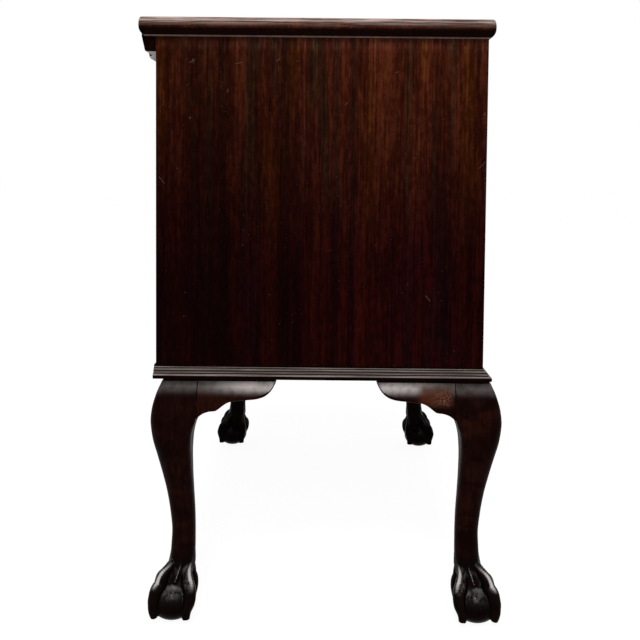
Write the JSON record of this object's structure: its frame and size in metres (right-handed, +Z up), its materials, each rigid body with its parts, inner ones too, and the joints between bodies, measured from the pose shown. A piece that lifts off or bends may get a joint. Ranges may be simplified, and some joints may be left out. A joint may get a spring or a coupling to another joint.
{
  "type": "chest of drawers",
  "caption": "Low chest of drawers with a blocked front, moulded top and base, cabriole legs and ball and claw feet; drawers slide out and bail pulls swing.",
  "frame": {"origin": "on the floor under the middle of the chest", "axes": "+X along the width, the drawers open toward -Y, +Z up"},
  "size_m": [0.914, 0.525, 0.85],
  "materials": {
    "mahogany": "semi-gloss varnished mahogany",
    "dark_mahogany": "satin dark stained carved mahogany",
    "secondary_wood": "plain unvarnished wood",
    "brass": "aged cast brass",
    "steel": "plain steel"
  },
  "bodies": {
    "case": {"back_boards": "secondary_wood", "back_screws": "steel", "base_dowels": "secondary_wood", "base_rail_front": "mahogany", "base_rail_left": "mahogany", "base_rail_rear": "mahogany", "base_rail_right": "mahogany", "case_side_left": "mahogany", "case_side_right": "mahogany", "drawer_runners": "secondary_wood", "drawer_stops": "secondary_wood", "dust_panel": "secondary_wood", "frieze_moulding": "mahogany", "glue_blocks": "secondary_wood", "knee_brackets_front_left": "dark_mahogany", "knee_brackets_front_right": "dark_mahogany", "knee_brackets_rear_left": "dark_mahogany", "knee_brackets_rear_right": "dark_mahogany", "leg_front_left": "dark_mahogany", "leg_front_right": "dark_mahogany", "leg_pads": "dark_mahogany", "leg_rear_left": "dark_mahogany", "leg_rear_right": "dark_mahogany", "leg_screws": "steel", "lower_divider": "mahogany", "top_board": "mahogany", "top_front_rail": "mahogany", "top_kickers": "secondary_wood", "top_rear_rail": "secondary_wood", "top_screws": "steel", "upper_divider": "mahogany"},
    "upper_drawer": {"upper_drawer_back": "secondary_wood", "upper_drawer_bottom": "secondary_wood", "upper_drawer_front": "mahogany", "upper_drawer_side_left": "secondary_wood", "upper_drawer_side_right": "secondary_wood", "upper_pull_plates": "brass", "upper_pull_posts": "brass"},
    "middle_drawer": {"middle_drawer_back": "secondary_wood", "middle_drawer_bottom": "secondary_wood", "middle_drawer_front": "mahogany", "middle_drawer_side_left": "secondary_wood", "middle_drawer_side_right": "secondary_wood", "middle_pull_plates": "brass", "middle_pull_posts": "brass"},
    "lower_drawer": {"lower_drawer_back": "secondary_wood", "lower_drawer_bottom": "secondary_wood", "lower_drawer_front": "mahogany", "lower_drawer_side_left": "secondary_wood", "lower_drawer_side_right": "secondary_wood", "lower_pull_plates": "brass", "lower_pull_posts": "brass"},
    "upper_bail_left": {"upper_bail_left": "brass"},
    "upper_bail_right": {"upper_bail_right": "brass"},
    "middle_bail_left": {"middle_bail_left": "brass"},
    "middle_bail_right": {"middle_bail_right": "brass"},
    "lower_bail_left": {"lower_bail_left": "brass"},
    "lower_bail_right": {"lower_bail_right": "brass"}
  },
  "joints": [
    {"name": "upper_drawer_slide", "type": "slide", "parent": "case", "child": "upper_drawer", "axis": [0, -1, 0], "range_m": [0, 0.31]},
    {"name": "upper_bail_left_swing", "type": "hinge", "parent": "upper_drawer", "child": "upper_bail_left", "pos_m": [-0.2575, -0.25205, 0.7525], "axis": [-1, 0, 0], "range_deg": [0, 95]},
    {"name": "upper_bail_right_swing", "type": "hinge", "parent": "upper_drawer", "child": "upper_bail_right", "pos_m": [0.2575, -0.25205, 0.7525], "axis": [-1, 0, 0], "range_deg": [0, 95]},
    {"name": "middle_drawer_slide", "type": "slide", "parent": "case", "child": "middle_drawer", "axis": [0, -1, 0], "range_m": [0, 0.31]},
    {"name": "middle_bail_left_swing", "type": "hinge", "parent": "middle_drawer", "child": "middle_bail_left", "pos_m": [-0.2575, -0.25205, 0.609], "axis": [-1, 0, 0], "range_deg": [0, 95]},
    {"name": "middle_bail_right_swing", "type": "hinge", "parent": "middle_drawer", "child": "middle_bail_right", "pos_m": [0.2575, -0.25205, 0.609], "axis": [-1, 0, 0], "range_deg": [0, 95]},
    {"name": "lower_drawer_slide", "type": "slide", "parent": "case", "child": "lower_drawer", "axis": [0, -1, 0], "range_m": [0, 0.31]},
    {"name": "lower_bail_left_swing", "type": "hinge", "parent": "lower_drawer", "child": "lower_bail_left", "pos_m": [-0.2575, -0.25205, 0.4515], "axis": [-1, 0, 0], "range_deg": [0, 95]},
    {"name": "lower_bail_right_swing", "type": "hinge", "parent": "lower_drawer", "child": "lower_bail_right", "pos_m": [0.2575, -0.25205, 0.4515], "axis": [-1, 0, 0], "range_deg": [0, 95]}
  ]
}
